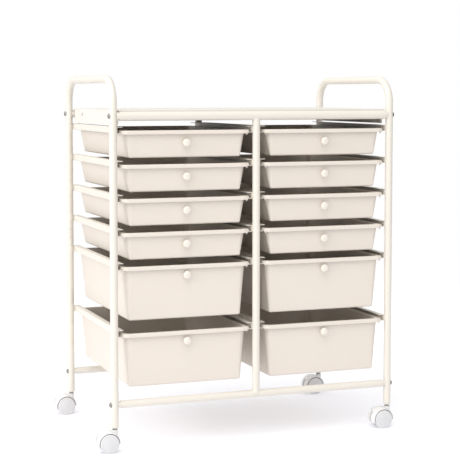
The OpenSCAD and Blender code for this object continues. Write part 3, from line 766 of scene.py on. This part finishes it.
class CART_OT_build_fittings(bpy.types.Operator):
    """Make the saddles, the bolts, the sockets and the stems"""
    bl_idname = "cart.build_fittings"
    bl_label = "Build fittings"

    def execute(self, context):
        s = context.scene.cart_fittings
        resin = moulded_nylon("moulded_nylon", tuple(s.resin))
        zinc = zinc_plated_steel(tuple(s.zinc))
        for node, name, finish, slot in (("bar_saddles", "moulded_saddles", resin, "fitting_plastic"),
                                         ("post_sockets", "moulded_sockets", resin, "fitting_plastic"),
                                         ("caster_stems", "turned_stems", zinc, "steel")):
            finish_piece(rounded_node(node, s.edge_round), name, finish, "frame", slot, node)
        low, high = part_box("left_front_post")
        post_r = (high.x - low.x) / 2
        head_high = low.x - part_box("frame_bolts")[0].x
        head, shank = s.bolt_head / 2, s.bolt_shank / 2
        bolt = lathe([(0, head_high, 0), (head * 0.5, head_high, head_high * 0.3),
                      (head * 0.85, head_high * 0.62, head_high * 0.25), (head, head_high * 0.2, 0.0003),
                      (head, 0, 0), (shank, 0, 0), (shank, -post_r, 0), (0, -post_r, 0)], steps=40)
        socket = bmesh.new()
        bmesh.ops.create_cone(socket, cap_ends=True, segments=6, radius1=s.bolt_socket / math.sqrt(3),
                              radius2=s.bolt_socket / math.sqrt(3), depth=2 * s.bolt_depth)
        bmesh.ops.translate(socket, vec=(0, 0, head_high), verts=socket.verts)
        bolt = combine(bolt, socket, "DIFFERENCE")
        bolts = bmesh.new()
        for corner in CORNERS:
            post = centre_of(corner + "_post")
            outward = -1 if corner.startswith("left") else 1
            end = corner.split("_")[1]
            for bar in ("top", "bottom"):
                place = Vector((post.x + outward * post_r, post.y, centre_of(f"{end}_{bar}_bar").z))
                stand = Matrix.Translation(place) @ Matrix.Rotation(outward * math.radians(90), 4, "Y")
                join(bolts, copied(bolt, stand))
        bolt.free()
        finish_piece(bolts, "button_head_bolts", zinc, "frame", "steel", "frame_bolts")
        return {"FINISHED"}


def shape_hood(radius, wheel, half, high, s):
    """A hood about its axle: a crown over both wheels, the web between them, and two bosses."""
    inner = wheel + s.gap
    mid = radius - inner
    around = 180 + math.degrees(s.front_drop + s.rear_drop)
    start = -math.degrees(s.front_drop)
    fall = mid - s.edge
    crown = (half ** 2 + fall ** 2) / (2 * fall)
    rows = [half * i / 8 for i in range(-8, 9)]
    arch = [(radius - crown + math.sqrt(crown ** 2 - y ** 2), y) for y in rows]
    hood = sweep([(inner, -half), *arch, (inner, half)], around, steps=48, from_degrees=start)
    bevel(hood, sharp_edges(hood), s.edge * 0.3)
    web = s.web / 2
    reach = inner + s.edge / 2
    plate = sweep([(0, -web), (reach, -web), (reach, web), (0, web)], around, steps=48, from_degrees=start)
    hood = combine(hood, plate, "UNION")
    side = s.boss / 2
    boss = rod(s.hub / 2, -side, side, steps=40, low_round=0.0004, high_round=0.0004)
    bmesh.ops.rotate(boss, cent=(0, 0, 0), matrix=Matrix.Rotation(math.radians(90), 3, "X"), verts=boss.verts)
    hood = combine(hood, boss, "UNION")
    foot = high - s.boss_deep - s.edge
    stem_boss = rod(side, foot, high, steps=48, low_round=0.0005, high_round=0.0007)
    bmesh.ops.translate(stem_boss, vec=(s.trail, 0, 0), verts=stem_boss.verts)
    hood = combine(hood, stem_boss, "UNION")
    far, wide = radius * 1.2, s.slot / 2
    past_end = 2
    slot = sweep([(s.hub, -wide), (far, -wide), (far, wide), (s.hub, wide)],
                 math.degrees(s.slot_rise + s.rear_drop) + past_end, steps=24,
                 from_degrees=180 - math.degrees(s.slot_rise))
    hood = combine(hood, slot, "DIFFERENCE")
    bore = rod(s.stem / 2 + FIT, high - s.boss_deep, high * 1.1, steps=40)
    bmesh.ops.translate(bore, vec=(s.trail, 0, 0), verts=bore.verts)
    return combine(hood, bore, "DIFFERENCE")


class CART_OT_build_casters(bpy.types.Operator):
    """Mould the caster hoods, and plate their axles"""
    bl_idname = "cart.build_casters"
    bl_label = "Build casters"

    def execute(self, context):
        s = context.scene.cart_casters
        resin = moulded_nylon("glossy_nylon", tuple(s.resin))
        zinc = zinc_plated_steel(tuple(context.scene.cart_fittings.zinc))
        low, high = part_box("left_front_caster_hood")
        axle = centre_of("left_front_axle")
        wheel = centre_of("left_front_outer_wheel").z
        hood = shape_hood(axle.x - low.x, wheel, (high.y - low.y) / 2, high.z - axle.z, s)
        for corner in CORNERS:
            place = Matrix.Translation(centre_of(corner + "_axle"))
            finish_piece(copied(hood, place), corner + "_moulded_hood", resin, corner + "_caster",
                         "caster_plastic", corner + "_caster_hood")
            NODES[corner + "_axle"].data.materials.clear()
            NODES[corner + "_axle"].data.materials.append(zinc)
        hood.free()
        return {"FINISHED"}


def shape_wheel(radius, width, s):
    """A wheel that stands on its inner face: a cup with a blind hub, under a domed face with a cap."""
    flat = radius - s.tread_round
    inside, hub, bore = radius - s.wall, s.hub / 2, s.axle / 2 + FIT
    cup = width - s.wall

    def face(r):
        return width + s.dome * (1 - (r / flat) ** 2)

    ring, cap, deep = flat * 0.84, flat * 0.24, 0.0004
    return lathe([(0, cup, 0), (bore, cup, 0), (bore, 0, 0), (hub, 0, 0.0005), (hub, cup, 0.0006),
                  (inside, cup, 0.0008), (inside, 0, 0.0005), (radius, 0, s.tread_round),
                  (radius, width, s.tread_round), (ring + deep * 2, face(ring + deep * 2), 0.0001),
                  (ring + deep, face(ring) - deep, 0), (ring - deep, face(ring) - deep, 0),
                  (ring - deep * 2, face(ring - deep * 2), 0.0001), (ring * 0.72, face(ring * 0.72), 0),
                  (ring * 0.48, face(ring * 0.48), 0), (cap + deep, face(cap + deep), 0.0001),
                  (cap, face(cap) - deep, 0), (cap - deep, face(cap - deep), 0.0001),
                  (cap * 0.5, face(cap * 0.5), 0), (0, face(0), 0)], steps=72)


class CART_OT_build_wheels(bpy.types.Operator):
    """Turn the eight wheels"""
    bl_idname = "cart.build_wheels"
    bl_label = "Build wheels"

    def execute(self, context):
        s = context.scene.cart_casters
        tread = rolled_polyurethane(tuple(s.tread))
        low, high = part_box("left_front_outer_wheel")
        wheel = shape_wheel((high.x - low.x) / 2, high.y - low.y - s.dome, s)
        for corner in CORNERS:
            hub = centre_of(corner + "_axle")
            for which in WHEELS:
                node = f"{corner}_{which}_wheel"
                low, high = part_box(node)
                out = 1 if low.y > hub.y else -1
                place = Vector((hub.x, low.y if out > 0 else high.y, hub.z))
                stand = (Matrix.Translation(place) @ Matrix.Rotation(math.radians(-90), 4, "X")
                         @ Matrix.Scale(out, 4, (0, 0, 1)))
                finish_piece(copied(wheel, stand), node.replace("wheel", "turned_wheel"), tread, node,
                             "wheel_plastic", node)
        wheel.free()
        return {"FINISHED"}


class CART_OT_build_studio(bpy.types.Operator):
    """Set up the floor, the light and the camera"""
    bl_idname = "cart.build_studio"
    bl_label = "Build studio"

    def execute(self, context):
        s = context.scene.cart_studio
        scene = context.scene
        scene.view_settings.view_transform = "Standard"
        world = bpy.data.worlds.new("studio")
        world.use_nodes = True
        tree = world.node_tree
        tree.nodes.clear()
        way = add_node(tree, "ShaderNodeTexCoord").outputs["Generated"]
        facing = add_node(tree, "ShaderNodeVectorMath", {0: way, 1: Vector(s.towards).normalized()},
                          operation="DOT_PRODUCT")
        glow = add_node(tree, "ShaderNodeMapRange", {"Value": facing.outputs["Value"], "From Min": -1.0,
                                                     "From Max": 1.0, "To Min": s.dim, "To Max": s.bright})
        lit = add_node(tree, "ShaderNodeBackground", {"Color": (*s.backdrop, 1), "Strength": glow.outputs[0]})
        seen = add_node(tree, "ShaderNodeBackground", {"Color": (*s.backdrop, 1), "Strength": 1.0})
        ray = add_node(tree, "ShaderNodeLightPath")
        both = add_node(tree, "ShaderNodeMixShader", {0: ray.outputs["Is Camera Ray"], 1: lit.outputs[0],
                                                      2: seen.outputs[0]})
        add_node(tree, "ShaderNodeOutputWorld", {"Surface": both.outputs[0]})
        scene.world = world
        floor = bmesh.new()
        bmesh.ops.create_circle(floor, cap_ends=True, cap_tris=True, radius=FLOOR_RADIUS, segments=96)
        mesh = bpy.data.meshes.new("studio_floor")
        floor.to_mesh(mesh)
        floor.free()
        plane = bpy.data.objects.new("studio_floor", mesh)
        scene.collection.objects.link(plane)
        paper, tree, shader, place = start_material("studio_paper", tuple(s.paper), 0.9)
        shader.inputs["Specular IOR Level"].default_value = 0.1
        shader.inputs["Emission Color"].default_value = (*s.backdrop, 1)
        shader.inputs["Emission Strength"].default_value = s.glow
        far = add_node(tree, "ShaderNodeVectorMath", {0: place}, operation="LENGTH")
        fade = add_node(tree, "ShaderNodeMapRange", {"Value": far.outputs["Value"], "From Min": s.fade_from,
                                                     "From Max": s.fade_to, "To Min": 1.0, "To Max": 0.0},
                        interpolation_type="SMOOTHSTEP")
        tree.links.new(fade.outputs[0], shader.inputs["Alpha"])
        mesh.materials.append(paper)
        for name, power, spot in (("softbox", s.softbox, SOFTBOX_AT),
                                  ("side_light", s.side_light, SIDE_LIGHT_AT)):
            light = bpy.data.lights.new(name, "AREA")
            light.shape, light.size, light.energy = "DISK", s.lamp, power
            lamp = bpy.data.objects.new(name, light)
            lamp.location = spot
            lamp.rotation_euler = (LIGHTS_AIM - lamp.location).to_track_quat("-Z", "Y").to_euler()
            scene.collection.objects.link(lamp)
        camera = bpy.data.cameras.new("camera")
        camera.lens, camera.sensor_width, camera.shift_y = s.lens, 36, -0.08
        eye = bpy.data.objects.new("camera", camera)
        eye.location = CAMERA_AT
        eye.rotation_euler = (math.radians(90) - s.pitch, 0, -s.swing)
        scene.collection.objects.link(eye)
        scene.camera = eye
        return {"FINISHED"}


OPERATORS = (CART_OT_finish_frame, CART_OT_lay_welds, CART_OT_build_shelf, CART_OT_build_drawers,
             CART_OT_build_knobs, CART_OT_build_fittings, CART_OT_build_casters, CART_OT_build_wheels,
             CART_OT_build_studio)


class CART_PT_panel(bpy.types.Panel):
    """Lists the cart's pieces and their settings"""
    bl_idname = "CART_PT_panel"
    bl_label = "Rolling Drawer Cart"
    bl_space_type = "VIEW_3D"
    bl_region_type = "UI"
    bl_category = "Cart"

    def draw(self, context):
        for operator in OPERATORS:
            self.layout.operator(operator.bl_idname)
        for key, group in GROUPS.items():
            box = self.layout.box()
            box.label(text=key.replace("_", " ").capitalize())
            for prop in group.__annotations__:
                box.prop(getattr(context.scene, key), prop)


def register():
    for cls in (*GROUPS.values(), *OPERATORS, CART_PT_panel):
        bpy.utils.register_class(cls)
    for key, group in GROUPS.items():
        setattr(bpy.types.Scene, key, PointerProperty(type=group))


def unregister():
    for key in GROUPS:
        delattr(bpy.types.Scene, key)
    for cls in (CART_PT_panel, *reversed(OPERATORS), *reversed(GROUPS.values())):
        bpy.utils.unregister_class(cls)


def main():
    register()
    for operator in OPERATORS:
        group, name = operator.bl_idname.split(".")
        getattr(getattr(bpy.ops, group), name)()


if __name__ == "__main__":
    main()
